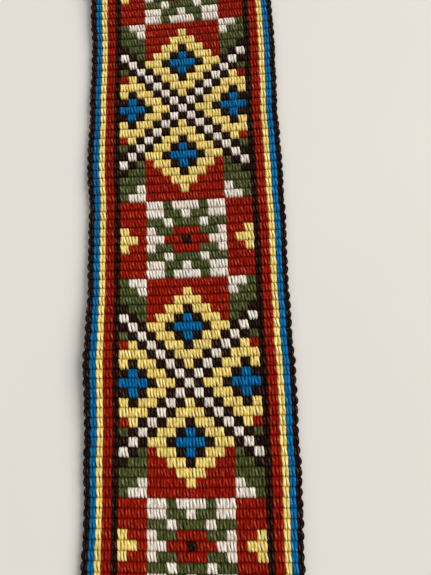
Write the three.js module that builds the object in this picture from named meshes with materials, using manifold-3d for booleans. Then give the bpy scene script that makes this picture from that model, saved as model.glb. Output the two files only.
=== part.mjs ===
// A hand-woven patterned band, lying flat with its warp fringes at both ends.
// The warp ends run along Y and lie side by side along X. One weft crosses them to and fro,
// through the slot that each warp end leaves between the face and the back of the band.
// X runs across the band, Y along it and Z up. The origin is the middle of the underside.
import * as THREE from 'three';
import { mergeVertices } from 'three/addons/utils/BufferGeometryUtils.js';
import Module from 'manifold-3d';

// Driving dimensions, in millimetres.
const endPitch = 0.82;        // from the middle of one warp end to the next, across the band
const endGap = 0.06;          // air between neighbouring warp ends
const rowPitch = 2.44;        // from one pick of the weft to the next, along the band
const repeatRows = 32;        // picks in one repeat of the pattern
const repeatCount = 4;        // repeats woven, from the middle of one rosette to another
const columnCount = 15;       // pattern columns between the borders
const endsPerColumn = 3;      // warp ends side by side in one pattern column
const layerThickness = 0.62;  // the face or the back layer of a warp end
const slotHeight = 0.5;       // room for the weft between the two layers
const slotMargin = 0.12;      // slot left open past the first and the last pick
const endWall = 0.55;         // where the two layers of a warp end close on each other
const fringeLength = 32;      // warp left free past the weaving, at each end
const fringeThickness = 0.78; // a free warp end, which is rounder than a woven one
const shoulderLength = 1.1;   // slope from the woven thickness down to the fringe
const weftWidth = 1.8;        // along the band: the weft is a flat bundle of strands
const weftThickness = 0.42;
const weftTurnReach = 0.62;   // how far a turn of the weft stands out of the selvedge
const weftTurnInset = 0.55;   // where a turn starts, inside the selvedge
const weftTurnWidth = 0.8;    // the bundle is squeezed narrower where it turns
const outerTurnSteps = 5;
const innerTurnSteps = 2;

// The border, from the selvedge inwards: what its warp ends are called, and how many there are.
const borderStripes = [
  { name: 'edge_end', count: 2, color: 0x2a1c18 },
  { name: 'blue_end', count: 2, color: 0x0b5f98 },
  { name: 'yellow_end', count: 2, color: 0xe2cd7c },
  { name: 'red_end', count: 3, color: 0x8a2412 },
  { name: 'dark_end', count: 2, color: 0x2b1712 },
];
const columnColor = 0x8c4a2c;
const weftColor = 0x2a1c18;
const yarnFinish = { roughness: 0.85, metalness: 0 };

// Sizes that follow from them.
const rowCount = repeatRows * repeatCount + 1;
const wovenLength = rowCount * rowPitch + 2 * (slotMargin + endWall);
const bandThickness = 2 * layerThickness + slotHeight;
const borderEnds = borderStripes.reduce((sum, stripe) => sum + stripe.count, 0);
const bandWidth = (2 * borderEnds + columnCount * endsPerColumn) * endPitch;
const halfWoven = wovenLength / 2;
const halfLength = halfWoven + fringeLength;
const halfSlot = halfWoven - endWall;

const wasm = await Module();
wasm.setup();

const band = new THREE.Group();
band.name = 'woven_band';

function yarnMaterial(color) {
  return new THREE.MeshStandardMaterial({ color, ...yarnFinish });
}

// A warp end seen from the side: the woven stretch with the weft's slot through it,
// and a low free tail at each end.
function warpProfile() {
  const outline = new THREE.Shape([
    new THREE.Vector2(-halfLength, 0),
    new THREE.Vector2(halfLength, 0),
    new THREE.Vector2(halfLength, fringeThickness),
    new THREE.Vector2(halfWoven + shoulderLength, fringeThickness),
    new THREE.Vector2(halfWoven, bandThickness),
    new THREE.Vector2(-halfWoven, bandThickness),
    new THREE.Vector2(-halfWoven - shoulderLength, fringeThickness),
    new THREE.Vector2(-halfLength, fringeThickness),
  ]);
  const slotFloor = layerThickness;
  const slotRoof = layerThickness + slotHeight;
  outline.holes.push(new THREE.Path([
    new THREE.Vector2(-halfSlot, slotFloor),
    new THREE.Vector2(-halfSlot, slotRoof),
    new THREE.Vector2(halfSlot, slotRoof),
    new THREE.Vector2(halfSlot, slotFloor),
  ]));
  return outline;
}

// The profile lies in the YZ plane and is as wide as the ends it stands for, less their gap.
function warpGeometry(endsWide) {
  const width = endsWide * endPitch - endGap;
  const geometry = new THREE.ExtrudeGeometry(warpProfile(), { depth: width, bevelEnabled: false });
  const acrossTheBand = new THREE.Vector3(1, 0, 0);
  const alongTheBand = new THREE.Vector3(0, 1, 0);
  const up = new THREE.Vector3(0, 0, 1);
  geometry.applyMatrix4(new THREE.Matrix4().makeBasis(alongTheBand, up, acrossTheBand));
  geometry.translate(-width / 2, 0, 0);
  return geometry;
}

function solidOf(geometry) {
  const plain = geometry.clone();
  plain.deleteAttribute('normal');
  plain.deleteAttribute('uv');
  const merged = mergeVertices(plain, 1e-5);
  const triVerts = new Uint32Array(merged.index.array);
  const vertProperties = merged.attributes.position.array;
  return new wasm.Manifold(new wasm.Mesh({ numProp: 3, vertProperties, triVerts }));
}

function geometryOf(solid) {
  const mesh = solid.getMesh();
  const geometry = new THREE.BufferGeometry();
  geometry.setAttribute('position', new THREE.BufferAttribute(mesh.vertProperties, 3));
  geometry.setIndex(new THREE.BufferAttribute(mesh.triVerts, 1));
  geometry.computeVertexNormals();
  return geometry;
}

// A pattern column holds three warp ends. Their tails are free of each other,
// so a slit parts them from the shoulder to the tip.
function columnGeometry() {
  let solid = solidOf(warpGeometry(endsPerColumn));
  const slitLength = fringeLength;
  const slitStart = halfWoven + shoulderLength;
  for (let slit = 1; slit < endsPerColumn; slit += 1) {
    const x = (slit - endsPerColumn / 2) * endPitch;
    for (const side of [-1, 1]) {
      const cutter = new THREE.BoxGeometry(endGap, slitLength, 4 * fringeThickness);
      cutter.translate(x, side * (slitStart + slitLength / 2), 0);
      solid = solid.subtract(solidOf(cutter));
    }
  }
  return geometryOf(solid);
}

function addWarp(name, x, geometry, color) {
  const mesh = new THREE.Mesh(geometry, yarnMaterial(color));
  mesh.name = name;
  mesh.position.x = x;
  band.add(mesh);
}

// The borders mirror each other. Ends are numbered from the selvedge inwards within a stripe.
function addBorders() {
  for (const [side, sign] of [['left', -1], ['right', 1]]) {
    let placed = 0;
    for (const stripe of borderStripes) {
      for (let number = 1; number <= stripe.count; number += 1) {
        const fromSelvedge = (placed + 0.5) * endPitch;
        const x = sign * (bandWidth / 2 - fromSelvedge);
        addWarp(`${stripe.name}_${side}_${number}`, x, warpGeometry(1), stripe.color);
        placed += 1;
      }
    }
  }
}

function addColumns() {
  const columnWidth = endsPerColumn * endPitch;
  for (let number = 1; number <= columnCount; number += 1) {
    const x = (number - (columnCount + 1) / 2) * columnWidth;
    addWarp(`pattern_column_${number}`, x, columnGeometry(), columnColor);
  }
}

// One half turn of the weft's outline round the selvedge, as points of a half ellipse.
function halfTurn(side, centreY, reachX, reachY, steps) {
  const startX = side * (bandWidth / 2 - weftTurnInset);
  const points = [];
  for (let step = 0; step <= steps; step += 1) {
    const angle = (step / steps - 0.5) * Math.PI;
    const x = startX + side * reachX * Math.cos(angle);
    points.push(new THREE.Vector2(x, centreY + reachY * Math.sin(angle)));
  }
  return points;
}

// The weft runs across, turns at the selvedge into the next row and runs back.
// Its outline goes up along one flank of the thread and comes down along the other.
function addWeft() {
  const halfWeft = weftWidth / 2;
  const outerReach = weftTurnInset + weftTurnReach;
  const innerReach = outerReach - weftTurnWidth;
  const firstRowY = -(rowCount - 1) * rowPitch / 2;
  const lastRowY = -firstRowY;
  const startX = -(bandWidth / 2 - weftTurnInset);
  const endX = rowCount % 2 ? -startX : startX;
  const risingFlank = [new THREE.Vector2(startX, firstRowY - halfWeft)];
  const fallingFlank = [new THREE.Vector2(startX, firstRowY + halfWeft)];
  for (let row = 0; row < rowCount - 1; row += 1) {
    const side = row % 2 ? -1 : 1;
    const turnY = firstRowY + (row + 0.5) * rowPitch;
    const outer = halfTurn(side, turnY, outerReach, rowPitch / 2 + halfWeft, outerTurnSteps);
    const inner = halfTurn(side, turnY, innerReach, rowPitch / 2 - halfWeft, innerTurnSteps);
    risingFlank.push(...(side > 0 ? outer : inner));
    fallingFlank.push(...(side > 0 ? inner : outer));
  }
  const lastRises = endX > 0 ? -halfWeft : halfWeft;
  risingFlank.push(new THREE.Vector2(endX, lastRowY + lastRises));
  fallingFlank.push(new THREE.Vector2(endX, lastRowY - lastRises));
  const outline = new THREE.Shape([...risingFlank, ...fallingFlank.reverse()]);
  const geometry = new THREE.ExtrudeGeometry(outline, { depth: weftThickness, bevelEnabled: false });
  const mesh = new THREE.Mesh(geometry, yarnMaterial(weftColor));
  mesh.name = 'weft';
  mesh.position.z = (bandThickness - weftThickness) / 2;
  band.add(mesh);
}

addBorders();
addColumns();
addWeft();

export default band;
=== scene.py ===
import math
import bpy
import numpy as np
from mathutils import Matrix, Vector


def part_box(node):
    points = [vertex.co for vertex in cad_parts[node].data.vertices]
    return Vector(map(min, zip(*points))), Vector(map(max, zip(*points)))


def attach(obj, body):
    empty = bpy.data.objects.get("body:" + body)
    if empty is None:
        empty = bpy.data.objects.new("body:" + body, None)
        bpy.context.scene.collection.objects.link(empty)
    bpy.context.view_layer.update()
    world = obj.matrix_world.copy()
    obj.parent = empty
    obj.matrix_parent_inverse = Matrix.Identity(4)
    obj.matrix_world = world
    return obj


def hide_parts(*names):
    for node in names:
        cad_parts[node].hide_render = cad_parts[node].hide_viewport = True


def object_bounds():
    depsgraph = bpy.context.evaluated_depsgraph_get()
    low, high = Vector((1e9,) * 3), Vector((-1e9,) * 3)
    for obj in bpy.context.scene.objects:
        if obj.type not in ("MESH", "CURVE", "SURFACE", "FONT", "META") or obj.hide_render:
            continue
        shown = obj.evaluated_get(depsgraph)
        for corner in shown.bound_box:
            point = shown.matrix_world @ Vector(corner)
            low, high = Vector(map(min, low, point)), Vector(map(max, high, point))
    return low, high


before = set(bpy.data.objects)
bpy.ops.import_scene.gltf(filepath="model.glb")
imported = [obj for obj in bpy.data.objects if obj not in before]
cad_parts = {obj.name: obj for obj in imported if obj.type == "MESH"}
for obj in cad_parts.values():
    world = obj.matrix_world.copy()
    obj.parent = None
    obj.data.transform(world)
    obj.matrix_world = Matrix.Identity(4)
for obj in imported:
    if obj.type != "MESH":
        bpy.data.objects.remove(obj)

design_box = [[float(value) for value in corner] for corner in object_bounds()]


# ---- The camera -----------------------------------------------------------------------------
# A hand-held camera looks down on the middle of the band from a hand's breadth above it. It
# stands a little to the right of the band and nearer its lower end, and is turned slightly.
MILLIMETRE = 0.001
face_height = design_box[1][2]
camera_place = Vector((15.99, -33.90, 113.09)) * MILLIMETRE + Vector((0, 0, face_height))
aimed_at = Vector((7.71, -14.27, 0.0)) * MILLIMETRE + Vector((0, 0, face_height))
turned_on_the_band = math.radians(1.88)

looking = (aimed_at - camera_place).normalized()
towards_far_end = Vector((math.sin(turned_on_the_band), math.cos(turned_on_the_band), 0))
rightwards = looking.cross(towards_far_end).normalized()
upwards = rightwards.cross(looking)
camera_axes = Matrix((rightwards, upwards, -looking)).transposed()

camera_data = bpy.data.cameras.new("camera")
camera_data.sensor_width = 36.0
camera_data.lens = 27.05       # the wide lens of a pocket camera
camera_data.clip_start = 0.005
camera_data.clip_end = 20.0
camera = bpy.data.objects.new("camera", camera_data)
camera.matrix_world = Matrix.Translation(camera_place) @ camera_axes.to_4x4()
bpy.context.collection.objects.link(camera)
bpy.context.scene.camera = camera


# ---- The table top and the light ------------------------------------------------------------
# The band lies on a plain, warm off-white table top. Daylight from a window on the right is
# broad and soft, and the room's pale walls fill in most of the shade.
def linear(hex_colour):
    """A colour written as it looks, such as "8a2412", as the numbers that a shader takes."""
    looks = [int(hex_colour[i:i + 2], 16) / 255 for i in (0, 2, 4)]
    return [c / 12.92 if c <= 0.04045 else ((c + 0.055) / 1.055) ** 2.4 for c in looks] + [1.0]


table_size = 40.0
table_drop = 0.00009   # the hair's breadth that keeps the lowest strands from sinking in
table_mesh = bpy.data.meshes.new("table_top")
half_table = table_size / 2
table_mesh.from_pydata(
    [(-half_table, -half_table, 0), (half_table, -half_table, 0),
     (half_table, half_table, 0), (-half_table, half_table, 0)], [], [(0, 1, 2, 3)])
table = bpy.data.objects.new("table_top", table_mesh)
table.location.z = -table_drop
bpy.context.collection.objects.link(table)

table_paint = bpy.data.materials.new("table_paint")
table_paint.use_nodes = True
paint_nodes = table_paint.node_tree.nodes
paint_links = table_paint.node_tree.links
paint = paint_nodes["Principled BSDF"]
paint.inputs["Roughness"].default_value = 0.62
paint.inputs["Specular IOR Level"].default_value = 0.25
paint_place = paint_nodes.new("ShaderNodeTexCoord")
paint_mottle = paint_nodes.new("ShaderNodeTexNoise")
paint_mottle.inputs["Scale"].default_value = 14.0
paint_mottle.inputs["Detail"].default_value = 3.0
paint_mix = paint_nodes.new("ShaderNodeMix")
paint_mix.data_type = "RGBA"
paint_mix.inputs["A"].default_value = linear("d6d2ca")
paint_mix.inputs["B"].default_value = linear("d2cdc5")
paint_links.new(paint_place.outputs["Object"], paint_mottle.inputs["Vector"])
paint_links.new(paint_mottle.outputs["Fac"], paint_mix.inputs["Factor"])
paint_links.new(paint_mix.outputs["Result"], paint.inputs["Base Color"])
table_mesh.materials.append(table_paint)

room = bpy.data.worlds.new("room")
room.use_nodes = True
room.node_tree.nodes["Background"].inputs["Color"].default_value = (0.94, 0.97, 1.0, 1.0)
room.node_tree.nodes["Background"].inputs["Strength"].default_value = 0.37
bpy.context.scene.world = room


def window_light(name, place, size, power, colour):
    light_data = bpy.data.lights.new(name, "AREA")
    light_data.shape = "SQUARE"
    light_data.size = size
    light_data.energy = power
    light_data.color = colour
    light = bpy.data.objects.new(name, light_data)
    light.location = place
    light.rotation_mode = "QUATERNION"
    light.rotation_quaternion = (-Vector(place)).to_track_quat("-Z", "Y")
    bpy.context.collection.objects.link(light)


window_light("window", (5.20, 2.40, 4.00), 4.40, 704.0, (1.0, 0.985, 0.955))
window_light("far_wall", (-0.9, 0.7, 1.3), 1.4, 4.0, (0.95, 0.97, 1.0))
bpy.context.scene.view_settings.view_transform = "Standard"


# ---- The weft -------------------------------------------------------------------------------
# One dark brown thread, a flat bundle of strands, crosses the band once in every row between
# its face and its back. It is hidden there, and only its turns round the selvedge are seen.
rows = 129
weft_width = 1.8
weft_half_height = 0.21
weft_turn_half_width = 0.30
weft_turn_half_height = 0.27
weft_turn_reach = -0.28    # past the flat selvedge: the turn sinks in between two bulges
beat_unevenness = 0.05     # a hand doesn't beat every row home alike

weft_low, weft_high = (np.array(corner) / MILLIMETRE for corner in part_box("weft"))
row_pitch = (weft_high[1] - weft_low[1] - weft_width) / (rows - 1)
beat = np.random.default_rng(11)
row_edges = (np.arange(rows + 1) - rows / 2) * row_pitch
row_edges[1:-1] += beat.normal(0, beat_unevenness, rows - 1)
middle_height = face_height / MILLIMETRE / 2
selvedge_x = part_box("edge_end_right_1")[1][0] / MILLIMETRE


# Each slow wave along the band is a reach, a wavelength and a phase.
band_wander = ((0.14, 115, 2.59), (0.11, 55, 1.27))
left_edge_wander = ((0.28, 60, 2.46), (0.14, 26, -0.33))
right_edge_wander = ((0.20, 75, -0.72), (0.15, 44, -0.67))
uneven_beating = ((0.20, 113, -1.69), (0.155, 53, -1.37))
left_edge_drawn_out, right_edge_drawn_in = -0.08, -0.12
row_bow, row_bow_width = 0.13, 50
row_skew = 0.0101
edge_lift, edge_curl = 0.2, 1.3          # the left selvedge clears the table, and curls up
curl_middle, curl_spacing = -30, 120     # most here, and again this far along


def waves(y, shapes):
    return sum(reach * np.sin(y * 2 * math.pi / length + phase) for reach, length, phase in shapes)


def lie_down(points):
    """Where a point of the flat band comes to lie. The band wanders a little to each side, its
    rows run slightly askew and bow, some are beaten closer, and the left selvedge lifts."""
    x, y, z = points[..., 0], points[..., 1], points[..., 2]
    left = np.clip(-x / selvedge_x, 0, None) ** 4
    right = np.clip(x / selvedge_x, 0, None) ** 4
    wander = waves(y, band_wander)
    wander += left * (waves(y, left_edge_wander) + left_edge_drawn_out)
    wander += right * (waves(y, right_edge_wander) + right_edge_drawn_in)
    bowed = row_bow * (1 - np.cos(x * 2 * math.pi / row_bow_width)) - row_skew * x
    curl = np.cos((y - curl_middle) * math.pi / curl_spacing) ** 8
    lift = left * (edge_lift + edge_curl * curl)
    return np.stack([x + wander, y + waves(y, uneven_beating) + bowed, z + lift], axis=-1)


def strand_surface(strand, sides):
    """The rings of one strand's surface. Its section is an oval of two plies that turn round
    each other, and stands square to the way the strand runs over the table. With them come its
    fibre coordinates and a mask for painted shade and painted highlight: low on the sides where it
    lies against its neighbours and between its plies, high on its crest and its ply ridges."""
    centre = strand["centre"]
    run = np.gradient(centre[:, :2], axis=0)
    run /= np.linalg.norm(run, axis=1)[:, None]
    side = np.stack([run[:, 1], -run[:, 0], np.zeros(len(run))], axis=1)
    angle = np.arange(sides) * 2 * math.pi / sides
    spun = angle - strand["ply_turn"][:, None]
    plies = 1 + strand["ply_depth"][:, None] * np.cos(2 * spun)
    across = strand["half_width"][:, None] * np.cos(angle) * plies
    above = strand["half_height"][:, None] * np.sin(angle) * plies
    surface = centre[:, None, :] + across[..., None] * side[:, None, :]
    surface[..., 2] += above
    radius = np.hypot(across, above)
    length = np.broadcast_to(strand["length"][:, None], radius.shape)
    fibre = np.stack([radius * np.cos(spun), radius * np.sin(spun), length], axis=-1)
    # painted shade and painted highlight: the mask is darker on the sides of a strand that lies
    # between neighbours, and between its plies
    open_to_light = 1 - strand["side_shade"][:, None] * (1 - np.abs(np.sin(angle)) ** 3)
    open_to_light = open_to_light * (0.8 + 0.2 * np.cos(2 * spun))
    return surface, fibre + strand["fibre_start"], strand["crown"][:, None] * open_to_light


def yarn_piece(name, strands, dyes, node):
    """A piece of the band made of strands of yarn, in the place of a plain node of the design."""
    points, fibres, crowns, shades, faces, dye_numbers = [], [], [], [], [], []
    placed = 0
    for strand in strands:
        sides = strand["sides"]
        surface, fibre, crown = strand_surface(strand, sides)
        rings = len(surface)
        number = placed + np.arange(rings * sides).reshape(rings, sides)
        here, beside = number[:-1], np.roll(number, -1, axis=1)[:-1]
        ahead, ahead_beside = number[1:], np.roll(number, -1, axis=1)[1:]
        quads = np.stack([here, ahead, ahead_beside, beside], axis=-1).reshape(-1, 4)
        faces += quads.tolist() + [number[0].tolist(), number[-1][::-1].tolist()]
        dye_numbers += np.repeat(strand["dye"], sides).tolist()
        dye_numbers += [int(strand["dye"][0]), int(strand["dye"][-1])]
        points.append(lie_down(surface).reshape(-1, 3))
        fibres.append(fibre.reshape(-1, 3))
        crowns.append(crown.ravel())
        shades.append(np.repeat(strand["shade"], sides))
        placed += rings * sides
    mesh = bpy.data.meshes.new(name)
    mesh.from_pydata((np.concatenate(points) * MILLIMETRE).tolist(), [], faces)
    for dye in dyes:
        mesh.materials.append(dye)
    mesh.polygons.foreach_set("material_index", dye_numbers)
    mesh.shade_smooth()
    fibre_layer = mesh.attributes.new("fibre", "FLOAT_VECTOR", "POINT")
    fibre_layer.data.foreach_set("vector", np.concatenate(fibres).astype(np.float32).ravel())
    for layer_name, values in (("crown", crowns), ("shade", shades)):
        layer = mesh.attributes.new(layer_name, "FLOAT", "POINT")
        layer.data.foreach_set("value", np.concatenate(values).astype(np.float32))
    piece = bpy.data.objects.new(name, mesh)
    bpy.context.collection.objects.link(piece)
    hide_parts(node)
    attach(piece, "root")
    return piece


sheen_weight, sheen_roughness = 0.10, 0.45
fibre_bump_height = 0.07


def dyed_yarn(name, colour, streak_and_shade_colour, highlight_colour, lustre):
    """Spun and plied yarn: streaked along its fibres, with painted shade where it dips between
    two rows and down its sides, a pale, streaky painted highlight along its crests, and the soft
    shine of combed fibre."""
    yarn = bpy.data.materials.new(name)
    yarn.use_nodes = True
    nodes, links = yarn.node_tree.nodes, yarn.node_tree.links
    shader = nodes["Principled BSDF"]
    shader.inputs["Specular IOR Level"].default_value = lustre
    shader.inputs["Sheen Weight"].default_value = sheen_weight
    shader.inputs["Sheen Roughness"].default_value = sheen_roughness
    shader.inputs["Sheen Tint"].default_value = linear(highlight_colour)

    def attribute(attribute_name):
        node = nodes.new("ShaderNodeAttribute")
        node.attribute_name = attribute_name
        return node

    def noise(scale, detail, roughness):
        node = nodes.new("ShaderNodeTexNoise")
        node.inputs["Scale"].default_value = scale
        node.inputs["Detail"].default_value = detail
        node.inputs["Roughness"].default_value = roughness
        links.new(fibre.outputs["Vector"], node.inputs["Vector"])
        return node.outputs["Fac"]

    def ranged(value, low, high, to_low, to_high):
        node = nodes.new("ShaderNodeMapRange")
        for socket, number in zip(("From Min", "From Max", "To Min", "To Max"),
                                  (low, high, to_low, to_high)):
            node.inputs[socket].default_value = number
        links.new(value, node.inputs["Value"])
        return node.outputs["Result"]

    def product(first, second):
        node = nodes.new("ShaderNodeMath")
        node.operation = "MULTIPLY"
        links.new(first, node.inputs[0])
        links.new(second, node.inputs[1])
        return node.outputs["Value"]

    def mixed(factor, first, second, blend="MIX"):
        node = nodes.new("ShaderNodeMix")
        node.data_type = "RGBA"
        node.blend_type = blend
        for socket, value in (("Factor", factor), ("A", first), ("B", second)):
            if isinstance(value, (list, float)):
                node.inputs[socket].default_value = value
            else:
                links.new(value, node.inputs[socket])
        return node.outputs["Result"]

    fibre = attribute("fibre")
    crown = attribute("crown")
    shade = attribute("shade")
    streaks = noise(4.5, 5.0, 0.68)
    heather = noise(0.9, 2.0, 0.5)
    # painted shade: in the dips between rows and down a strand's sides the colour goes to its shade
    # colour
    painted_shade = ranged(crown.outputs["Fac"], 0.0, 0.5, 0.0, 1.0)
    on_crest = ranged(crown.outputs["Fac"], 0.5, 0.9, 0.0, 1.0)
    body = mixed(ranged(streaks, 0.3, 0.62, 0.1, 1.0), linear(streak_and_shade_colour), linear(colour))
    body = mixed(painted_shade, linear(streak_and_shade_colour), body)
    # painted highlight: a pale streaky line along each crest, standing in for the shine of the fibres
    painted_highlight = product(on_crest, ranged(streaks, 0.48, 0.64, 0.0, 0.8))
    body = mixed(painted_highlight, body, linear(highlight_colour))
    tone = product(shade.outputs["Fac"], ranged(heather, 0.3, 0.7, 0.92, 1.08))
    grey = nodes.new("ShaderNodeCombineColor")
    for channel in ("Red", "Green", "Blue"):
        links.new(tone, grey.inputs[channel])
    body = mixed(1.0, body, grey.outputs["Color"], "MULTIPLY")
    links.new(body, shader.inputs["Base Color"])
    links.new(ranged(streaks, 0.3, 0.7, 0.85, 0.6), shader.inputs["Roughness"])
    bump = nodes.new("ShaderNodeBump")
    bump.inputs["Strength"].default_value = 0.8
    bump.inputs["Distance"].default_value = fibre_bump_height * MILLIMETRE
    links.new(streaks, bump.inputs["Height"])
    links.new(bump.outputs["Normal"], shader.inputs["Normal"])
    return yarn


# A yarn's colours: its own, the dark of its streaks and of its painted shade, and the pale of its
# painted highlight and its sheen; then its lustre.
brown_yarn = dyed_yarn("brown_yarn", "1d0b03", "080200", "6a4e40", 0.04)

across_points = 14
turn_points = 5
turn_starts = selvedge_x - 0.55
turn_bulge = 0.55 + weft_turn_reach - weft_turn_half_width
weft_flattens_over = 1.5
weft_path, weft_squeeze = [], []
for row in range(rows):
    way = 1 if row % 2 == 0 else -1
    row_y = (row_edges[row] + row_edges[row + 1]) / 2
    for x in np.linspace(-1, 1, across_points) * turn_starts:
        weft_path.append((way * x, row_y, middle_height))
        weft_squeeze.append(min(1.0, (turn_starts - abs(x)) / weft_flattens_over))
    if row < rows - 1:
        next_y = (row_edges[row + 1] + row_edges[row + 2]) / 2
        for angle in np.linspace(-math.pi / 2, math.pi / 2, turn_points + 2)[1:-1]:
            turn_x = turn_starts + turn_bulge * math.cos(angle)
            turn_y = (row_y + next_y) / 2 + (next_y - row_y) / 2 * math.sin(angle)
            weft_path.append((way * turn_x, turn_y, middle_height))
            weft_squeeze.append(0.0)
weft_path, weft_squeeze = np.array(weft_path), np.array(weft_squeeze)
weft_length = np.cumsum(np.linalg.norm(np.diff(weft_path, axis=0, prepend=weft_path[:1]), axis=1))
weft_twist = 1.2           # radians in each millimetre
weft_ply_depth = 0.08
fibre_stretch = 0.15       # a streak of fibres is this much finer across than along
weft_strand = {
    "centre": weft_path,
    "half_width": weft_turn_half_width + (weft_width / 2 - weft_turn_half_width) * weft_squeeze,
    "half_height": weft_turn_half_height + (weft_half_height - weft_turn_half_height) * weft_squeeze,
    "ply_turn": weft_length * weft_twist,
    "ply_depth": np.full(len(weft_path), weft_ply_depth),
    "length": weft_length * fibre_stretch,
    "fibre_start": np.zeros(3),
    # the weft's mask for painted shade sits half way, so its colour is mostly its painted shade
    # colour, with no painted highlight
    "crown": np.full(len(weft_path), 0.5),
    "side_shade": np.zeros(len(weft_path)),
    "shade": np.ones(len(weft_path)),
    "dye": np.zeros(len(weft_path) - 1, int),
    "sides": 10,
}
weft = yarn_piece("weft_yarn", [weft_strand], [brown_yarn], "weft")


# ---- The edge ends --------------------------------------------------------------------------
# Two dark brown warp ends at each selvedge. The weft pulls the outer one in between two rows,
# so it bulges at every row and makes the scalloped edge. Past the weaving it hangs free.
face_rings = (0.0, 0.05, 0.14, 0.28, 0.43, 0.57, 0.72, 0.86, 0.95)
back_rings = (0.0, 0.08, 0.28, 0.50, 0.72, 0.92)
face_sides, back_sides = 12, 8
strand_half_width = 0.415
strand_half_height = 0.32
dip_from_middle = 0.17     # how near the band's middle height a strand dips between two rows
crest_from_middle = 0.49
plied_length = 7.0         # along the yarn, for one turn of its plies
woven_ply_depth, free_ply_depth = 0.22, 0.18
strand_lean = -0.22        # to the side, from one dip to the next
lean_wave, lean_wave_rows = 0.12, 37
side_shade_share = 0.75        # painted shade: how dark a woven strand's sides are, down between its neighbours
uneven_lean, uneven_place, uneven_width, uneven_rise = 0.10, 0.025, 0.04, 0.018
uneven_row_shade, uneven_strand_shade = 0.05, 0.03
draw_in_reach, draw_in_waves = 0.07, (5.3, 8.7, 13.1, 21.0)
fringe_rings = 60
held_half_width = 0.21     # where the last row of weft squeezes it
free_half_width = 0.40
round_from = 6.0           # out from the last row, where a free strand has its full width
fringe_waves = ((0.5, 6.5), (0.8, 11.0), (1.1, 23.0))
fringe_straying, fringe_curling, fringe_spreading = 0.45, 0.25, 0.05
crimp, crimp_fades_over = 0.05, 14
tip_length = 0.8
settling_passes = 8        # for each ring of the fringe
settling_fall = 0.012      # in each pass
settling_push = 0.3        # how much of an overlap each pass takes away

end_pitch = (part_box("red_end_right_1")[0][0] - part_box("red_end_right_2")[0][0]) / MILLIMETRE
fringe_length = (design_box[1][1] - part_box("weft")[1][1]) / MILLIMETRE - 1.2
ends = int(round(2 * selvedge_x / end_pitch))
row_numbers = np.arange(rows)
draw_in_random = np.random.default_rng(5)
draw_in = sum(
    draw_in_reach * np.sin(row_numbers * 2 * math.pi / wave + draw_in_random.uniform(0, 2 * math.pi))
    for wave in draw_in_waves)


def eased(share):
    share = np.clip(share, 0, 1)
    return share * share * (3 - 2 * share)


def settled_tails(fringe_random):
    """How far to the side and how high each strand lies, ring by ring, past one end of the
    weaving. The strands stray, push each other aside, and come down on the table or on each
    other. The first half of the numbers is the face strands', the second the back strands'."""
    places = (np.arange(ends) - (ends - 1) / 2) * end_pitch
    x = np.tile(places, 2)
    z = np.repeat([middle_height + dip_from_middle, middle_height - dip_from_middle], ends)
    gathering = sum(
        reach * np.sin(x * 2 * math.pi / wave + fringe_random.uniform(0, 2 * math.pi))
        for reach, wave in fringe_waves)
    own_way = fringe_random.normal(0, fringe_straying, 2 * ends)
    curl = fringe_random.normal(0, fringe_curling, (2, 2 * ends))
    target = [np.zeros(2 * ends)]
    for share in np.arange(1, fringe_rings + 1) / fringe_rings:
        curled = curl[0] * math.sin(share * math.pi) + curl[1] * math.sin(share * 2 * math.pi)
        target.append((gathering + own_way + fringe_spreading * x) * share ** 1.6 + curled)
    not_itself = 9 * np.eye(2 * ends)    # keeps a strand from pushing itself
    settled = []
    for ring in range(fringe_rings):
        radius = free_radius(fringe_length * (ring + 1) / fringe_rings)
        x = x + target[ring + 1] - target[ring]
        for _ in range(settling_passes):
            z = z - settling_fall
            apart_x, apart_z = x[:, None] - x, z[:, None] - z
            apart = np.hypot(apart_x, apart_z) + not_itself
            push = settling_push * np.clip(2 * radius - apart, 0, None) / apart
            x = x + (apart_x * push).sum(axis=1)
            z = np.maximum(z + (apart_z * push).sum(axis=1), radius * 1.15)
        settled.append((x, z))
    return np.array(settled)


def free_radius(out):
    """Half the width of a strand, which swells to its full round once the weft lets go."""
    return held_half_width + (free_half_width - held_half_width) * eased(out / round_from)


tails = {end: settled_tails(np.random.default_rng(30 + end)) for end in (-1, 1)}


def free_tail(x, layer, end, woven_y, strand_random):
    """The rings of one strand past the weaving, from the last row outwards to its cut tip."""
    length = fringe_length * strand_random.uniform(0.93, 1.0)
    out = np.linspace(0, length, fringe_rings + 1)[1:]
    number = int(round(x / end_pitch + (ends - 1) / 2)) + (0 if layer > 0 else ends)
    side, height = tails[end][:, 0, number], tails[end][:, 1, number]
    crimped = crimp * np.sin(out * math.pi / row_pitch + strand_random.uniform(0, 6))
    side = side + crimped * np.exp(-out / crimp_fades_over)
    centre = np.stack([side, woven_y + end * out, height], axis=1)
    radius = free_radius(out) * np.sqrt(np.clip((length + 0.15 - out) / tip_length, 0, 1))
    half_width = np.maximum(radius, 0.29 * (out < 3))
    return centre, half_width, radius


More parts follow.
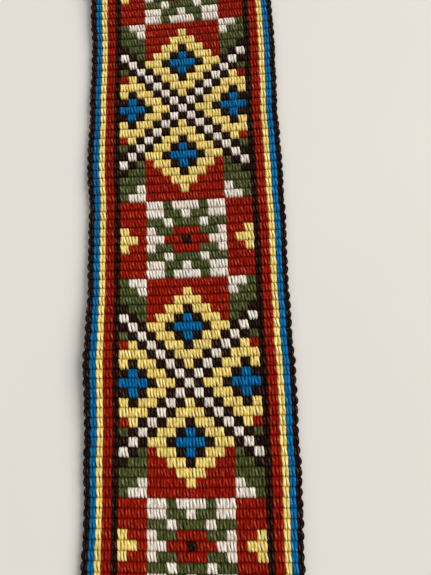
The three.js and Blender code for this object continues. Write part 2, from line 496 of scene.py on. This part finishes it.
def warp_strand(x, layer, strand_random, leaning=1.0, bulge=0.0, slack=0.0):
    """A strand of warp from tip to tip, along the face of the band (layer 1) or its back (-1).
    It rises over each row and dips between two, leaning a little as the plies pull it."""
    shares = face_rings if layer > 0 else back_rings
    row = np.append(np.repeat(np.arange(rows), len(shares)), rows - 1)
    share = np.append(np.tile(shares, rows), 1.0)
    crown = 1 - np.abs(2 * share - 1) ** 5
    lean = strand_lean + lean_wave * np.sin(row_numbers * 2 * math.pi / lean_wave_rows + 1.0)
    lean = (lean + strand_random.normal(0, uneven_lean, rows))[row] * (share - 0.5) * (crown > 0)
    shift = leaning * lean + strand_random.normal(0, uneven_place, rows)[row] * crown
    shift = shift + bulge * (np.sin(share * math.pi) ** 0.7 - 1) + slack * draw_in[row]
    swell = 1 + strand_random.normal(0, uneven_width, rows)[row] * crown
    rise = crest_from_middle - dip_from_middle + strand_random.normal(0, uneven_rise, rows)[row]
    y = row_edges[row] + share * (row_edges[row + 1] - row_edges[row])
    z = middle_height + layer * (dip_from_middle + rise * crown)
    centre = np.stack([x + shift, y, z], axis=1)
    half_width = strand_half_width * (0.88 + 0.12 * np.sqrt(crown)) * swell
    half_height = strand_half_height * (0.62 + 0.38 * crown)
    near = free_tail(x, layer, -1, row_edges[0], strand_random)
    far = free_tail(x, layer, 1, row_edges[-1], strand_random)
    centre = np.concatenate([near[0][::-1], centre, far[0]])
    length = centre[:, 1]
    row_shade = 1 + strand_random.normal(0, uneven_row_shade, rows)
    free = np.ones(fringe_rings)
    shade = np.concatenate([free * row_shade[0], row_shade[row], free * row_shade[-1]])
    in_rows = np.concatenate([free * 0, np.ones(len(crown)), free * 0])
    return {
        "centre": centre,
        "half_width": np.concatenate([near[1][::-1], half_width, far[1]]),
        "half_height": np.concatenate([near[2][::-1], half_height, far[2]]),
        "ply_turn": length * 2 * math.pi / plied_length + strand_random.uniform(0, math.pi),
        "ply_depth": free_ply_depth + (woven_ply_depth - free_ply_depth) * in_rows,
        "length": length * fibre_stretch,
        "fibre_start": strand_random.uniform(-40, 40, 3),
        # the mask for painted shade and painted highlight: full on the free tails, falling to nothing
        # in the dips between rows
        "crown": np.concatenate([free, crown, free]),
        "side_shade": side_shade_share * in_rows,
        "shade": shade * (1 + strand_random.normal(0, uneven_strand_shade)),
        "dye": np.zeros(len(centre) - 1, int),
        "sides": face_sides if layer > 0 else back_sides,
    }


def border_end(stripe, side_name, number, yarn, slack, seed, bulge=0.0, tone=1.0):
    """One warp end of the border: its face strand and its back strand, as one piece. Its tone
    scales the brightness of its colour."""
    node = f"{stripe}_end_{side_name}_{number}"
    low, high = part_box(node)
    x = (low[0] + high[0]) / 2 / MILLIMETRE
    strand_random = np.random.default_rng(seed)
    outwards = 1 if x > 0 else -1
    strands = []
    for layer in (1, -1):
        strand = warp_strand(x, layer, strand_random, 0.5, bulge * outwards, slack * outwards)
        strand["shade"] *= tone
        strands.append(strand)
    name = f"{stripe}_yarn_{side_name}_{number}"
    yarn_piece(name, strands, [yarn], node)


for side_name, seed, bulge in (("left", 100, 0.55), ("right", 200, 0.80)):
    border_end("edge", side_name, 1, brown_yarn, 1.0, seed + 1, bulge)
    border_end("edge", side_name, 2, brown_yarn, 0.9, seed + 2, bulge / 3)


# ---- The blue ends --------------------------------------------------------------------------
# Two warp ends of bright blue yarn inside each selvedge. They lie side by side and rise in the
# same rows, so that they look like one chain.
blue_yarn = dyed_yarn("blue_yarn", "005f94", "003658", "309cd0", 0.05)

# The right-hand blue ends are made brighter than the left-hand ones.
for side_name, seed, tone in (("left", 110, 0.98), ("right", 210, 1.30)):
    for number in (1, 2):
        border_end("blue", side_name, number, blue_yarn, 0.8, seed + number, tone=tone)


# ---- The yellow ends ------------------------------------------------------------------------
# Two warp ends of pale yellow yarn next to the blue, woven as the blue ones are.
yellow_yarn = dyed_yarn("yellow_yarn", "e9d277", "a07d1e", "fff9de", 0.18)

# The right-hand yellow ends are made a little brighter than the left-hand ones.
for side_name, seed, tone in (("left", 120, 1.0), ("right", 220, 1.10)):
    for number in (1, 2):
        border_end("yellow", side_name, number, yellow_yarn, 0.65, seed + number,
                   tone=tone)


# ---- The red ends ---------------------------------------------------------------------------
# Three warp ends of deep orange-red yarn, the broadest stripe of the border.
red_yarn = dyed_yarn("red_yarn", "8b1000", "5e0400", "ca6d40", 0.04)

# The left-hand red ends are made darker, the right-hand ones brighter.
for side_name, seed, tone in (("left", 130, 0.91), ("right", 230, 1.06)):
    for number in (1, 2, 3):
        border_end("red", side_name, number, red_yarn, 0.5, seed + number, tone=tone)


# ---- The dark ends --------------------------------------------------------------------------
# Two warp ends of the same dark brown as the selvedge part the border from the pattern.
for side_name, seed in (("left", 140), ("right", 240)):
    for number in (1, 2):
        border_end("dark", side_name, number, brown_yarn, 0.3, seed + number)


# ---- The pattern columns --------------------------------------------------------------------
# Fifteen columns of three warp ends each. In every row the weaver brings up the colour that
# the draft asks for, and the other colours run hidden between the face and the back.
# The draft is a quarter of the repeat, and the rest mirrors it. A string is a row, from the
# middle of the cross to the middle of the rosette; a letter is a column, from the middle out.
draft = (
    "WKYYKBBB",
    "KWKYYKBK",
    "YKWKYYKY",
    "YYKWKYYY",
    "KYYKWKYR",
    "BKYYKWKG",
    "BBKYYKWK",
    "BKYYRGKW",
    "KYYRRGGK",
    "YYRRRGGG",
    "YRRRRWGG",
    "RRRRRWWG",
    "WWGWWRRR",
    "WGGWWRRR",
    "GGWGGRRR",
    "RRGGWRRY",
    "KRRWWRYY",
)
columns = 15
ends_in_a_column = 3
hidden_row = 9             # how far in the row lies whose colour a back strand's tail shows

white_yarn = dyed_yarn("white_yarn", "e7ddcf", "978672", "fffefa", 0.20)
green_yarn = dyed_yarn("green_yarn", "4c4f22", "1c2008", "9c9f7f", 0.06)
pattern_yarns = {
    "W": white_yarn,
    "K": brown_yarn,
    "Y": yellow_yarn,
    "B": blue_yarn,
    "R": red_yarn,
    "G": green_yarn,
}
letters = list(pattern_yarns)


def drafted(column, row):
    """The number of the colour that a column shows in a row, counted from the lower end."""
    from_middle = abs(column - columns // 2)
    quarter = len(draft) - 1
    from_rosette = abs(row - rows // 2) % (2 * quarter)
    from_cross = quarter - min(from_rosette, 2 * quarter - from_rosette)
    return letters.index(draft[from_cross][from_middle])


for column in range(columns):
    node = f"pattern_column_{column + 1}"
    low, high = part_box(node)
    middle_x = (low[0] + high[0]) / 2 / MILLIMETRE
    strand_random = np.random.default_rng(300 + column)
    row_dyes = np.array([drafted(column, row) for row in range(rows)])
    strands = []
    for place in range(ends_in_a_column):
        x = middle_x + (place - (ends_in_a_column - 1) / 2) * end_pitch
        for layer in (1, -1):
            strand = warp_strand(x, layer, strand_random)
            tail_row = 0 if layer > 0 else hidden_row + 2 * place
            near_dyes = np.full(fringe_rings, row_dyes[tail_row])
            far_dyes = np.full(fringe_rings, row_dyes[rows - 1 - tail_row])
            rings_in_a_row = len(face_rings if layer > 0 else back_rings)
            strand["dye"] = np.concatenate([near_dyes, np.repeat(row_dyes, rings_in_a_row), far_dyes])
            strands.append(strand)
    yarns = list(pattern_yarns.values())
    name = f"pattern_yarns_{column + 1}"
    yarn_piece(name, strands, yarns, node)
